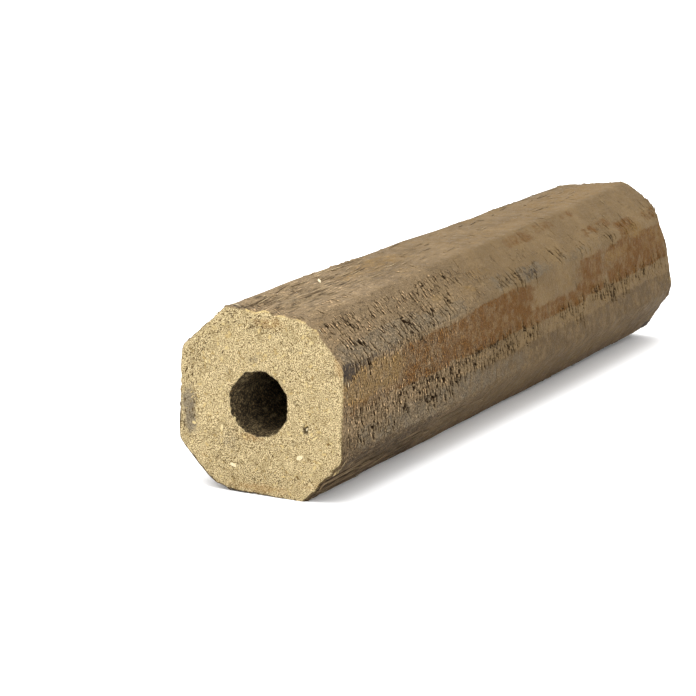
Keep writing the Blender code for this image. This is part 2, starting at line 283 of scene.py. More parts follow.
tears = {
    "count": 290,                   # these stand where the solid has its own
    "length": 0.0056,
    "sizes": (0.6, 1.15),
    "slant": 0.35,
    "sideGap": 0.0062,
    "nextGap": 0.0040,
    "margin": 0.004,
    "seed": 11,
    "groundClear": 0.0012,
    "lone": 0.03,
    "patchRate": 38.0,
    "patch": (0.62, 0.75),          # the usual share of a band that tears, and its swing
    "bands": (                      # degrees round the section, width, strength
        (33.0, 6.0, 1.0), (50.0, 8.0, 0.45), (350.0, 9.0, 1.0), (118.0, 8.0, 0.8),
        (152.0, 6.0, 0.5), (196.0, 10.0, 0.9), (232.0, 7.0, 0.6), (292.0, 7.0, 0.4),
    ),
    "opening": 0.0019,              # along the log
    "depth": 0.75,                  # as a share of the opening
    "lip": 0.17,
    "calm": 0.40,                   # how open the solid's tears are outside the groups below
    "wobble": 0.20,                 # how far a tear wanders, as a share of half its opening
    "groupSeed": 5,
    "groupMargin": (3.0, 2.0),      # mm and degrees round a group
    "groupStrength": (0.75, 1.0),
    "groupGap": (0.75, 0.42, 0.0004),   # shares of a tear's length across and along, and metres more
    "attempts": 14,                 # for each tear of a group
    "groupSlant": (-0.50, 0.12),
    "slim": (0.40, 0.62),           # opening as a share of the length
    "bold": (                       # mm along from, to, degrees from, to, how many, length from, to in mm
        (10, 24, 26, 33, 5, 2.6, 3.6), (19, 24, 46, 53, 3, 2.4, 3.2), (43, 48, 48, 55, 3, 2.4, 3.2),
        (46, 63, 30, 40, 14, 2.8, 4.6), (60, 64, 36, 41, 2, 2.6, 3.2), (72, 78, 27, 41, 8, 2.8, 5.2),
        (84, 95, 47, 56, 8, 2.4, 3.4), (82, 86, 28, 37, 4, 3.6, 5.2), (89, 94, 28, 39, 5, 3.8, 5.6),
        (137, 144, 30, 38, 4, 2.4, 4), (148, 156, 26, 39, 6, 3, 5), (158, 172, 28, 36, 5, 2.4, 4),
        (192, 199, 30, 38, 5, 3, 4.6), (217, 223, 28, 36, 3, 2.4, 4), (243, 253, 29, 39, 5, 2.4, 4.6),
        (262, 278, 27, 36, 5, 2.4, 3.8), (294, 305, 29, 37, 5, 2.4, 3.8), (8, 14, -8, 0, 4, 2.4, 3.4),
        (20, 26, -16, -2, 8, 2.8, 4.8), (26, 35, -19, -2, 9, 2.6, 4.6), (38, 51, -16, -3, 12, 2.8, 5),
        (53, 66, -14, -3, 10, 2.6, 4.8), (65, 77, -19, -3, 11, 2.6, 4.8), (76, 81, -9, -1, 4, 3, 4.6),
        (80, 87, -20, -8, 4, 3, 4.8), (84, 99, -14, -2, 12, 2.8, 5), (98, 113, -13, -2, 16, 2.8, 4.8),
        (110, 147, -13, -1, 42, 2.6, 4.8), (151, 166, -13, -1, 11, 2.8, 5.6),
        (187, 203, -8, 0, 12, 2.4, 4.4), (203, 212, -19, -1, 9, 3.4, 5.8), (221, 238, -9, 1, 12, 2.8, 5),
        (239, 249, -14, -1, 10, 3.4, 5.8), (253, 263, -13, 0, 9, 3.4, 5.8),
        (266, 281, -8, 1, 8, 2.4, 4.2), (289, 306, -7, 2, 9, 2.4, 4.4), (4, 42, 42, 57, 16, 1.7, 3),
        (42, 78, 42, 56, 14, 1.7, 3.2), (36, 64, 25, 31, 12, 1.7, 2.8), (4, 36, 24, 41, 10, 1.7, 2.8),
        (64, 100, 26, 42, 9, 1.8, 3), (4, 70, -4, 4, 26, 1.8, 3), (2, 40, -22, -6, 16, 1.8, 3),
        (40, 110, 40, 56, 10, 1.7, 3), (10, 90, 6, 24, 16, 1.4, 2.2), (10, 45, 64, 74, 8, 1.8, 2.8),
        (80, 100, 64, 74, 5, 2, 3), (2, 30, 92, 108, 6, 1.8, 2.8),
    ),
    "placedStrength": 0.85,
    "placed": (                     # along in mm, degrees, length and opening in mm, slant
        (11.5, 31, 4.5, 1.3, 0), (15.5, 30, 3.4, 1.2, 0.3), (22, 28, 3.6, 1.3, -0.3),
        (12, 38.5, 4.2, 1.3, 0.3), (18.5, 38.5, 3.6, 1.4, -0.5), (39, 38.5, 3.9, 1.3, 0.3),
        (47.8, 35.2, 5.9, 1.6, 0.1), (52, 35.6, 3.9, 1.3, 0.4), (54.3, 36.6, 5.6, 1.5, 0.1),
        (56.6, 38, 3.9, 1.3, -0.5), (58.9, 33.2, 7.3, 1.6, -0.1), (61.8, 38.4, 3.9, 1.5, 0),
        (50, 29.4, 3.4, 1.3, 0.5), (53.6, 29, 3.4, 1.3, 0.2), (56.4, 28.4, 3.4, 1.3, -0.4),
        (73.8, 36.6, 6.4, 1.6, -0.6), (77, 36.2, 6.2, 1.4, 0.6), (75.6, 30, 5.3, 1.6, -0.1),
        (67.8, 29, 3.4, 1.5, 0.2), (71.5, 28.6, 3.4, 1.3, -0.6), (83.6, 32.8, 6.4, 1.7, -0.3),
        (90.8, 33.8, 7.8, 1.8, 0), (93.2, 32, 4.8, 1.3, 0), (43.4, 53.6, 4.5, 1.5, -0.7),
        (46.6, 50.8, 5.6, 1.5, 0), (51.6, 47.6, 3.9, 1.4, -0.5), (20, 50.2, 4.8, 1.5, -0.6),
        (23.2, 48.2, 4.8, 1.4, -0.5), (13.6, 53.6, 4.8, 1.3, 0.1), (13, 48.8, 3.4, 1.3, 0),
        (28.4, 46, 4.8, 1.4, -0.6), (61.4, 50, 4.2, 1.3, 0.4), (66.8, 52.6, 4.8, 1.3, 0.2),
        (72.4, 49.4, 4.8, 1.3, 0), (75.2, 48.4, 4.2, 1.3, 0), (79.4, 52, 5, 1.6, 0.8),
        (82.8, 51, 4.2, 1.5, 0.5), (89.8, 53.2, 4.5, 1.5, 0), (92.4, 49.6, 5.3, 1.4, 0.2),
        (96.4, 53, 3.6, 1.4, 0), (106, 49, 4.8, 1.5, -0.6), (29, 70, 4.2, 1.8, -1),
        (38, 68.4, 3.9, 1.8, 0.8), (87, 70, 5, 1.9, 0), (96, 69, 3.9, 2.1, 0.9),
        (10.4, -2.8, 4.2, 1.3, -0.4), (16.8, -1.6, 3.9, 1.3, 0), (23.4, -7.4, 6.4, 1.5, 0),
        (22.8, -13, 5.6, 1.3, 0.3), (29.2, -7.6, 5.9, 1.4, 0.2), (28.6, -14.2, 5.3, 1.3, 0),
        (32.6, -18.8, 4.2, 1.3, 0), (26.8, -1, 4.8, 1.3, 0), (34.8, -1.6, 3.6, 1.2, 0),
        (42, -7, 5.6, 1.5, 0.3), (40.6, -13, 4.8, 1.3, 0.5), (43.4, -13.4, 4.5, 1.3, 0.2),
        (46.8, -13.6, 4.5, 1.4, 0.3), (48.6, -6.8, 6.2, 1.3, 0.1), (54.6, -8.6, 4.2, 1.2, 0),
        (57.4, -6.8, 4.2, 1.5, 0), (61.6, -9.6, 7.8, 1.7, 0), (65.6, -7, 4.5, 1.5, 0.5),
        (68.2, -12.6, 7, 1.5, -0.5), (70.4, -17.4, 3.9, 1.5, -0.4), (72.8, -12.8, 6.2, 1.4, 0.5),
        (77.8, -5.6, 6.4, 1.6, -0.6), (81, -12.2, 6.4, 1.4, -0.6), (84.4, -17.6, 5, 1.5, -0.5),
        (84.6, -6, 5, 1.5, 0.5), (90.2, -7.2, 7, 1.6, 0), (93.8, -9.4, 6.2, 1.5, -0.4),
        (99.8, -6.4, 5.3, 1.4, 0), (103, -7.6, 6.4, 1.5, 0.2), (105.8, -10, 7, 1.4, -0.4),
    ),
}
hidden = {                          # groups of tears on the sides that the photograph doesn't show
    "seed": 6,
    "rows": ((118, 6), (152, 5), (178, 4), (196, 7), (232, 6), (262, 3), (292, 5)),     # degrees, groups
    "start": (2.0, 285.0),          # mm
    "reach": (6.0, 36.0),
    "end": 306.0,
    "below": (0.0, 9.0),            # degrees
    "above": (2.0, 8.0),
    "density": 0.045,
    "shortest": 2.5,
    "longest": (3.2, 5.2),
}


def tearChance(along, degrees):
    chance = tears["lone"]
    for number, (band, width, strength) in enumerate(tears["bands"]):
        usual, swing = tears["patch"]
        patch = usual + swing * noise.noise((along * tears["patchRate"], number * 5.3, 1.7))
        chance += strength * patch * math.exp(-(degreesBetween(degrees, band) / width) ** 2)
    return chance


def isClear(places, along, degrees, sideGap, nextGap):
    if not places:
        return True
    taken = np.array(places)
    away = np.abs(np.radians(degreesBetween(degrees, taken[:, 1]))) * 0.5 * log["width"]
    return not ((away < sideGap) & (np.abs(along - taken[:, 0]) < nextGap)).any()


def onGround(along, degrees):
    return surface(along, 0.0, math.radians(degrees))[2] < tears["groundClear"]


def hiddenGroups():
    draw = random.Random(hidden["seed"])
    made = []
    for row, count in hidden["rows"]:
        for number in range(count):
            start, reach = draw.uniform(*hidden["start"]), draw.uniform(*hidden["reach"])
            low, high = row - draw.uniform(*hidden["below"]), row + draw.uniform(*hidden["above"])
            end, many = min(start + reach, hidden["end"]), int(hidden["density"] * reach * (high - low)) + 1
            made.append((start, end, low, high, many, hidden["shortest"], draw.uniform(*hidden["longest"])))
    return made


def inGroup(along, degrees):
    ends, sides = tears["groupMargin"]
    for start, end, low, high, *rest in tearGroups:
        inside = start - ends < 1000.0 * along < end + ends
        if inside and abs(degreesBetween(degrees, 0.5 * (low + high))) < 0.5 * (high - low) + sides:
            return True
    return False


def drawTears():                    # the same draws as the solid's
    draw = random.Random(tears["seed"])
    places = []
    while len(places) < tears["count"]:
        along = draw.uniform(tears["margin"], log["length"] - tears["margin"])
        degrees = draw.uniform(0.0, 360.0)
        size = draw.uniform(*tears["sizes"])
        slant = draw.uniform(-tears["slant"], tears["slant"])
        if draw.random() >= tearChance(along, degrees) or onGround(along, degrees):
            continue
        if isClear(places, along, degrees, tears["sideGap"], tears["nextGap"]):
            places.append((along, degrees, size, slant))
    made = []
    for along, degrees, size, slant in places:
        strength = 1.0 if inGroup(along, degrees) else tears["calm"]
        opening = tears["opening"] * size ** 0.75 * strength
        made.append((along, degrees, tears["length"] * size, opening, slant, strength))
    return made


def drawGroups():                   # the placed tears, then smaller ones close together round them
    draw = random.Random(tears["groupSeed"])
    across, lengthwise, more = tears["groupGap"]
    strength = tears["placedStrength"]
    places = []
    for along, degrees, length, opening, slant in tears["placed"]:
        places.append((0.001 * along, degrees % 360.0, 0.001 * length, 0.001 * opening, slant, strength))
    for start, end, low, high, count, shortest, longest in tearGroups:
        for attempt in range(tears["attempts"] * count):
            along, degrees = 0.001 * draw.uniform(start, end), draw.uniform(low, high) % 360.0
            length = 0.001 * (shortest + (longest - shortest) * draw.random() ** 1.3)
            slant, slim = draw.uniform(*tears["groupSlant"]), draw.uniform(*tears["slim"])
            if count < 1 or onGround(along, degrees):
                continue
            if isClear(places, along, degrees, across * length, more + lengthwise * length):
                strength = draw.uniform(*tears["groupStrength"])
                places.append((along, degrees, length, length * slim, slant, strength))
                count -= 1
    return places


def cutTears(ways, angles, places):     # height, painted shade in the pits and painted highlight on the lips of every point of the skin
    height = np.zeros((len(angles), len(ways)))
    pitShade, lip = np.zeros_like(height), np.zeros_like(height)
    turn = np.degrees(angles)
    for number, (along, degrees, length, opening, slant, strength) in enumerate(places):
        half = 0.5 * opening
        rows = np.flatnonzero(np.abs(ways - along) < 2.4 * half + 0.5 * length * abs(slant))
        across = np.radians(degreesBetween(turn, degrees)) * 0.5 * log["width"]
        columns = np.flatnonzero(np.abs(across) < 0.5 * length)
        if not len(rows) or not len(columns):
            continue
        spot = np.ix_(columns, rows)
        v = across[columns][:, None] / (0.5 * length)
        u = ways[rows][None, :] - along - slant * across[columns][:, None]
        u = u + half * tears["wobble"] * (np.sin(3.0 * v + degrees) + np.sin(9.0 * v + number))
        taper = np.clip(1.0 - v * v, 0.0, 1.0) ** (0.35 + 0.4 * ((number * 0.37) % 1.0))
        w = u / (half * taper + 1e-6)
        pit = smoothStep((w + 1.0) / 0.40) * (1.0 - smoothStep((w - 0.30) / 0.70)) * np.sqrt(taper)
        ridge = hump(w + 1.35, 0.42) * taper
        height[spot] -= tears["depth"] * opening * strength * pit
        height[spot] += tears["lip"] * opening * strength * ridge * (1.0 - pit)
        pitShade[spot] = np.maximum(pitShade[spot], pit * strength)
        edge = (ridge + 0.5 * hump(w - 1.35, 0.35) * taper) * (1.0 - pit) * strength
        lip[spot] = np.maximum(lip[spot], edge)
    return height, pitShade, lip


sideGroups = hiddenGroups()
tearGroups = list(tears["bold"]) + sideGroups
tearPlaces = drawTears() + drawGroups()
print("tears drawn", len(tearPlaces))


# The skin, the end faces and the bore, as one closed mesh

skin = {
    "columns": (58, 54),            # across a flat side and a slanting one
    "nearStep": 0.00028,
    "farStep": 0.00038,
    "faceSteps": 76,
    "farFaceSteps": 60,
    "boreSteps": 130,
    "triangles": 190000,
    "keepPull": 0.00002,            # how strongly tears, rims and flakes keep their triangles
    "keepLevels": 16,
    "flakeHeight": 0.00040,         # layers of flattened fibre
    "fibreHeight": 0.00010,
    "crumbHeight": 0.00013,         # on the end faces
    "crumbSizes": ((0.0021, 1.0), (0.0011, 0.8), (0.0006, 0.5)),    # with their shares of the height
    "boreCrumb": 0.00030,
    "rimChip": 0.00045,             # how far the rims are broken back
    "creases": (                    # painted shade lines in the creases: degrees, drift per metre, reach along, strength
        (332.5, -25.0, 0.110, 1.0), (327.0, 10.0, 0.080, 0.8), (321.0, 25.0, 0.100, 0.8),
        (315.0, 30.0, 0.090, 0.7), (309.0, 25.0, 0.080, 0.7), (338.0, -90.0, 0.070, 0.6),
    ),
    "facePits": ((0.0177, 0.0256, 0.0009, 0.0015, 0.0011),),    # x, z, reach across, reach up, depth
}
coarse = 1


def cellValue(cells, seed):         # a repeatable random number between -1 and 1 for every cell
    mixed = seed * 1274126177
    for axis, factor in enumerate((374761393, 668265263, 2147483647)):
        mixed = mixed + cells[..., axis] * factor
    mixed = (mixed ^ (mixed >> 13)) * 1274126177
    mixed = mixed ^ (mixed >> 16)
    return (mixed & 0xFFFF) / 32767.5 - 1.0


def crumbs(places, size, seed):     # smooth noise for large arrays; size may differ along each axis
    scaled = places / np.array(size)
    base = np.floor(scaled).astype(np.int64)
    part = smoothStep(scaled - base)
    total = 0.0
    for corner in itertools.product((0, 1), repeat=3):
        share = np.prod(np.where(corner, part, 1.0 - part), axis=-1)
        total = total + share * cellValue(base + np.array(corner), seed)
    return total


def skinWays():
    steps, place = [], log["rimSoftness"]
    while place < log["length"] - log["rimSoftness"]:
        steps.append(place)
        step = skin["nearStep"] + (skin["farStep"] - skin["nearStep"]) * place / log["length"]
        place += step * coarse
    steps[-1] = log["length"] - log["rimSoftness"]
    return np.array(steps)


def faceWays(count):                # rim, then rings towards the bore
    rim = []
    for quarter in (0.25, 0.5, 0.75, 1.0):
        a = 0.5 * math.pi * quarter
        rim.append((log["rimSoftness"] * (1.0 - math.sin(a)), log["faceInset"] * (1.0 - math.cos(a))))
    rings = np.linspace(log["faceInset"], 1.0, count)[1:-1]
    return rim + [(0.0, float(ring)) for ring in rings]


def boreWays(count):
    shares = 0.5 - 0.5 * np.cos(np.pi * np.linspace(0.0, 1.0, count))
    return log["length"] * (1.0 - shares)


def faceLift(places):               # how far the crumbs of an end face stand out
    grain = rough(*(places[..., axis] / log["endGrainSize"] for axis in range(3)))
    crumb = 0.0
    for seed, (size, share) in enumerate(skin["crumbSizes"], 31):
        crumb = crumb + share * crumbs(places, size, seed)
    return log["endGrain"] * grain + skin["crumbHeight"] * crumb, crumb


def facePits(x, z):
    depth = 0.0
    for atX, atZ, reachX, reachZ, deep in skin["facePits"]:
        depth = depth + deep * np.exp(-((x - atX) / reachX) ** 4 - ((z - atZ) / reachZ) ** 4)
    return depth


def skinDetail(along, angle, flat):     # every small height of the skin, and its masks
    degrees = np.degrees(angle)
    flakes = flakeShare(along, degrees, flat)
    layers = crumbs(flat, (0.0040, 0.024, 0.0040), 3) + 0.5 * crumbs(flat, (0.0015, 0.009, 0.0015), 4)
    steps = layers * 3.2
    part = steps - np.floor(steps)
    fibre = crumbs(flat, (0.0009, 0.011, 0.0009), 8)
    height = flakes * skin["flakeHeight"] * (np.floor(steps) + smoothStep(part * 4.0) - 1.0) / 2.0
    height = height + skin["fibreHeight"] * fibre * (0.4 + 0.9 * flakes)
    # painted shade along the steps between fibre layers and in the creases
    crack = flakes * hump(part - 0.04, 0.10)
    for start, drift, reach, strength in skin["creases"]:
        line = hump(degreesBetween(degrees, start + drift * along) + 1.2 * fibre, 0.9)
        crack = np.maximum(crack, strength * line * (1.0 - smoothStep(along / reach)))
    return height, {"flake": flakes * np.clip(0.5 + 0.5 * fibre, 0.0, 1.0), "crack": crack}


def makeSkinMesh():
    angles = ringAngles(*(steps // coarse for steps in skin["columns"]))
    ways = skinWays()
    length, inset = log["length"], log["faceInset"]
    nearFace, farFace = (faceWays(skin[name] // coarse) for name in ("faceSteps", "farFaceSteps"))
    nearFace.reverse()
    bore = boreWays(skin["boreSteps"] // coarse)
    alongWay = np.concatenate([ways, [length - a for a, i in farFace], bore, [a for a, i in nearFace]])
    inwardWay = np.concatenate([
        np.zeros(len(ways)), [i for a, i in farFace], np.ones(len(bore)), [i for a, i in nearFace]])
    shape = (len(angles), len(alongWay))
    angle = np.broadcast_to(angles[:, None], shape)
    along = np.broadcast_to(alongWay[None, :], shape)
    inward = np.broadcast_to(inwardWay[None, :], shape)
    flat = unrolled(along, angle)
    cut = cutTears(ways, angles, tearPlaces)
    cut, pitShade, lip = (np.pad(values, ((0, 0), (0, shape[1] - len(ways)))) for values in cut)
    detail, masks = skinDetail(along, angle, flat)
    nearRim = np.minimum(along, length - along)
    ragged = crumbs(flat, 0.0028, 12) + 0.6 * crumbs(flat, 0.0012, 13)
    detail = detail + cut - skin["rimChip"] * hump(nearRim, 0.0018) * np.clip(0.3 + ragged, 0.0, 2.0)
    spot = unrolled(along, angle, 0.5 * log["bore"])
    boreDetail = crumbs(spot, (0.0022, 0.0030, 0.0022), 21) + 0.5 * crumbs(spot, 0.0011, 22)
    boreDetail = skin["boreCrumb"] * boreDetail
    places = surface(along, inward, angle, detail, boreDetail)
    lift, crumb = faceLift(places)
    onFace = smoothStep(inward / inset) * smoothStep((1.0 - inward) / 0.04)
    shift = places - middle
    pits = facePits(shift[..., 0], shift[..., 2]) * (along < 0.5 * length)
    shift[..., 1] += np.where(along > 0.5 * length, 1.0, -1.0) * onFace * (lift - pits)
    shift[..., 2] = np.maximum(shift[..., 2], 0.0)
    degrees = np.degrees(angle)
    dusty = smoothStep((0.0036 - nearRim) / 0.0036) * hump(degreesBetween(degrees, 84.0), 46.0)
    torn = hump(degreesBetween(degrees, 327.0), 6.0) * (1.0 - smoothStep(along / 0.010))
    torn = torn * (0.6 + 0.5 * ragged)
    masks.update({
        "tear": pitShade,
        "lip": lip,
        "face": smoothStep((inward + 0.3 * inset * ragged - 0.15 * inset) / (0.7 * inset)) * (inward > 0.0),
        # painted shade along the lower rim of the end faces
        "rind": smoothStep((0.25 - np.sin(angle)) / 0.6),
        "dust": np.maximum(dusty * np.clip(0.5 + 0.6 * ragged, 0.0, 1.0), torn),
        "char": smoothStep((inward - 0.985 + 0.012 * ragged) / 0.012),
        # painted shade in the end faces' hollows and pits
        "hollow": onFace * np.maximum(0.6 * smoothStep((-crumb - 0.7) / 0.9), smoothStep(pits / 0.0005)),
        "lengthwise": lengthwiseShare(along, degrees),
        "near": 1.0 - smoothStep((along - 0.045) / 0.11),
    })
    masks.update(skinMarks(along, degrees, flat))
    masks.update(faceMarks(shift[..., 0], shift[..., 2], along))
    rim = hump(nearRim, 0.0016)
    wide = np.maximum(pitShade, 0.8 * lip)
    for axis, step in ((0, 1), (0, -1), (1, 1), (1, -1), (1, 2)):
        wide = np.maximum(wide, 0.9 * np.roll(wide, step, axis))
    mouth = 1.5 * (inward > 0.96) * rim
    keep = np.maximum.reduce([2.0 * wide, mouth, 0.6 * rim, 0.4 * masks["crack"], 0.3 * onFace])
    return meshFrom("briquetteSkin", shift, masks, {"unrolled": flat}), keep.ravel()


def unrolled(along, angle, radius=0.5 * log["width"]):      # the log's own grain, with its turn taken out
    return np.stack(np.broadcast_arrays(np.cos(angle) * radius, along, np.sin(angle) * radius), -1)


def flakeShare(along, degrees, flat):   # where layers of fibre lie on the skin
    top = hump(degreesBetween(degrees, 94.0), 22.0) * (1.0 - 0.8 * smoothStep(along / 0.15))
    low = hump(degreesBetween(degrees, 312.0), 16.0) * (1.0 - 0.8 * smoothStep(along / 0.12))
    left = 0.7 * hump(degreesBetween(degrees, 215.0), 18.0) * smoothStep((along - 0.10) / 0.10)
    some = 0.5 * smoothStep(crumbs(flat, (0.018, 0.045, 0.018), 41) * 1.6 - 0.4)
    return np.clip(np.maximum.reduce([top, low, left, some]), 0.0, 1.0)


def lengthwiseShare(along, degrees):    # where the fibres lie along the log and not across it
    top = hump(degreesBetween(degrees, 92.0), 28.0) ** 0.7
    low = hump(degreesBetween(degrees, 308.0), 14.0)
    left = hump(degreesBetween(degrees, 215.0), 20.0)
    return np.clip(np.maximum.reduce([top, low, left]), 0.0, 1.0)


marks = {                           # along from, to in mm, degrees from, to, strength
    "torn": (
        (0, 14, 50, 57, 0.7), (12, 26, 46, 58, 0.9), (26, 39, 42, 51, 0.9), (9, 22, 35, 43, 0.9),
        (36, 42, 35, 42, 0.8), (41, 54, 45, 56, 0.8), (7, 26, 25, 32, 1), (24, 63, 24, 30, 1),
        (45, 64, 30, 41, 0.8), (58, 73, 45, 55, 0.9), (71, 79, 27, 52, 0.8), (77, 99, 45, 57, 1),
        (65, 75, 26, 31, 0.8), (97, 106, 27, 39, 0.6), (98, 120, 47, 57, 0.8), (117, 131, 40, 49, 0.8),
        (115, 122, 28, 36, 0.6), (127, 145, 30, 44, 0.5), (148, 175, 27, 38, 0.6),
        (158, 186, 40, 50, 0.4), (190, 200, 30, 39, 0.6), (228, 255, 30, 44, 0.4),
        (260, 280, 27, 36, 0.5), (292, 306, 29, 37, 0.5), (14, 42, 66, 73, 0.6), (80, 98, 66, 74, 0.5),
        (0, 8, 60, 108, 0.6), (1, 24, -6, 3, 0.9), (1, 16, -22, -8, 0.7), (20, 66, -4, 5, 0.9),
        (18, 36, -20, -2, 0.6), (38, 52, -16, -3, 0.6), (52, 78, -18, -3, 0.6), (62, 150, -13, 4, 0.7),
        (110, 150, -14, -2, 0.6), (150, 212, -14, -1, 0.5), (220, 306, -13, 0, 0.5),
        (0, 100, 4, 26, 0.45), (100, 160, 2, 24, 0.25), (4, 60, -26, -6, 0.3), (2, 60, 32, 58, 0.14),
        (0, 44, 92, 108, 0.35), (0, 60, 60, 92, 0.2), (44, 90, 74, 104, 0.12),
    ),
    # painted light: the top made paler, as if lit from above
    "upper": ((-20, 70, 62, 118, 0.7), (40, 76, 84, 104, 1.0), (110, 190, 62, 110, 0.35)),
    # painted shade: the lower sides darker along the whole log
    "low": ((-20, 330, -78, -13, 0.9), (-20, 330, 185, 262, 0.9)),
    # painted shade: darker still under the lower slants near the near end
    "deep": ((-20, 75, -78, -25, 1.0), (-20, 60, 190, 232, 0.8)),
    "cool": (
        (3, 64, 28, 41, 0.9), (60, 104, 27, 37, 0.7), (10, 112, -26, -12, 0.7), (110, 160, -26, -14, 0.5),
        (154, 176, 27, 37, 1), (120, 150, 28, 40, 0.5), (176, 240, 26, 34, 0.4), (20, 90, 150, 170, 0.7),
        (120, 220, 206, 226, 0.6), (230, 300, 110, 128, 0.6), (30, 130, 228, 246, 0.7),
        (200, 290, 278, 300, 0.6),
    ),
    "rust": (
        (96, 162, -2, 26, 1), (38, 100, -1, 25, 0.7), (0, 42, -2, 8, 0.5), (155, 213, -4, 8, 0.75),
        (209, 238, -2, 25, 0.8), (243, 309, -3, 25, 0.85), (166, 191, 51, 60, 0.65),
        (194, 216, 52, 60, 0.5), (219, 238, 54, 61, 0.5), (226, 262, 36, 44, 0.5),
        (261, 281, 26, 37, 0.8), (290, 307, 29, 37, 0.5), (60, 180, 186, 206, 0.85),
        (190, 285, 178, 200, 0.7), (20, 110, 240, 262, 0.6), (150, 300, 122, 142, 0.5),
        (30, 120, 278, 294, 0.5), (0, 50, 160, 182, 0.6),
    ),
    "gold": (
        (0, 46, 5, 26, 0.8), (58, 80, 85, 98, 0.75), (78, 118, 83, 104, 0.6), (238, 268, 12, 22, 0.6),
        (283, 309, 8, 24, 0.5), (267, 285, 22, 32, 0.6), (104, 126, 35, 42, 0.5), (118, 134, 42, 50, 0.5),
        (80, 100, 40, 46, 0.5), (160, 206, 10, 22, 0.35), (0, 14, 42, 60, 0.35), (140, 240, 66, 84, 0.4),
        (230, 309, 64, 100, 0.45), (130, 190, 150, 166, 0.6), (40, 110, 206, 222, 0.6),
        (20, 60, 296, 310, 0.5),
    ),
    "scorch": (
        (-4, 5, 21, 30, 1), (3, 13, 23.5, 29.5, 0.85), (11, 25, 25.5, 29, 0.75), (26, 42, 26, 28.5, 0.4),
        (158, 173, 29, 35, 0.45), (-4, 4, 103, 113, 0.6), (-4, 20, 244, 258, 0.8),
        (296, 314, 198, 214, 0.8), (300, 314, 292, 306, 0.8), (80, 104, 156, 164, 0.6),
    ),
}
faceSpots = {                       # near end or far end, x, z, reach across, reach up, strength
    "smudge": (
        (0, -0.0285, 0.03, 0.0035, 0.0065, 1), (0, -0.0275, 0.0215, 0.003, 0.004, 0.7),
        (0, -0.0024, 0.0479, 0.003, 0.002, 0.6), (0, -0.012, 0.018, 0.0065, 0.006, 0.45),
        (0, -0.014, 0.0425, 0.004, 0.004, 0.4), (1, 0.018, 0.05, 0.008, 0.006, 0.8),
        (1, -0.02, 0.016, 0.007, 0.005, 0.6),
    ),
    "warm": (
        (0, 0.003, 0.0612, 0.007, 0.0022, 1), (0, 0.0305, 0.049, 0.0025, 0.006, 0.9),
        (0, 0, 0.0025, 0.015, 0.0022, 0.8), (0, -0.004, 0.0205, 0.006, 0.0018, 0.9),
        (0, 0.02, 0.006, 0.008, 0.003, 0.5), (0, -0.023, 0.012, 0.005, 0.005, 0.4),
        (1, 0, 0.06, 0.01, 0.003, 0.8), (1, -0.029, 0.03, 0.0025, 0.01, 0.8),
        (1, 0.008, 0.023, 0.006, 0.003, 0.7),
    ),
    "crumbly": (
        (0, -0.013, 0.018, 0.008, 0.007, 1), (0, -0.002, 0.007, 0.018, 0.005, 0.8),
        (0, -0.024, 0.048, 0.006, 0.008, 0.9), (0, 0.001, 0.06, 0.014, 0.0035, 0.9),
        (0, 0.027, 0.044, 0.004, 0.01, 0.6), (0, -0.028, 0.024, 0.004, 0.012, 0.7),
        (0, 0.002, 0.019, 0.01, 0.003, 0.8), (1, 0.012, 0.018, 0.01, 0.008, 1),
        (1, -0.01, 0.056, 0.016, 0.006, 0.9), (1, 0.025, 0.035, 0.005, 0.015, 0.8),
    ),
}


def skinMarks(along, degrees, flat):    # boxes with soft, uneven edges
    made = {}
    shiftAlong = 5.0 * crumbs(flat, (0.009, 0.022, 0.009), 51)
    shiftTurn = 1.3 * crumbs(flat, (0.006, 0.012, 0.006), 52)
    for name, boxes in marks.items():
        if name == "torn":
            boxes = boxes + tuple((*group[:4], 0.8) for group in sideGroups)
        soft = 8.0 if name in ("torn", "scorch", "cool") else 14.0      # mm over which an end fades
        total = np.zeros_like(shiftAlong)
        for start, end, low, high, strength in boxes:
            place = 1000.0 * along + shiftAlong * min(1.0, (end - start) / 30.0)
            away = np.abs(degreesBetween(degrees, 0.5 * (low + high)) + shiftTurn)
            within = smoothStep((0.5 * (high - low) - away) / 3.0 + 0.5)
            reach = smoothStep((place - start) / soft + 0.5) * smoothStep((end - place) / soft + 0.5)
            total = np.maximum(total, strength * within * reach)
        made[name] = total
    return made


def faceMarks(x, z, along):
    made = {}
    for name, spots in faceSpots.items():
        total = 0.0
        for end, atX, atZ, reachX, reachZ, strength in spots:
            here = (along > 0.5 * log["length"]) == bool(end)
            total = total + here * strength * np.exp(-((x - atX) / reachX) ** 2 - ((z - atZ) / reachZ) ** 2)
        made[name] = np.clip(total, 0.0, 1.0)
    return made


def meshFrom(name, places, masks, vectors):     # a grid of points that closes both ways
    columns, rows = places.shape[:2]
    column, row = np.meshgrid(np.arange(columns), np.arange(rows), indexing="ij")
    nextColumn, nextRow = (column + 1) % columns, (row + 1) % rows
    corners = ((column, row), (column, nextRow), (nextColumn, nextRow), (nextColumn, row))
    faces = np.stack([across * rows + along for across, along in corners], -1).reshape(-1, 4)
    mesh = bpy.data.meshes.new(name)
    mesh.vertices.add(columns * rows)
    mesh.vertices.foreach_set("co", places.astype(np.float32).ravel())
    mesh.loops.add(faces.size)
    mesh.loops.foreach_set("vertex_index", faces.astype(np.int32).ravel())
    mesh.polygons.add(len(faces))
    mesh.polygons.foreach_set("loop_start", np.arange(0, faces.size, 4, dtype=np.int32))
    mesh.update(calc_edges=True)
    for mask, values in masks.items():
        storeValues(mesh, mask, np.broadcast_to(values, (columns, rows)))
    for vector, values in vectors.items():
        storeValues(mesh, vector, values, "FLOAT_VECTOR", "vector")
    return mesh


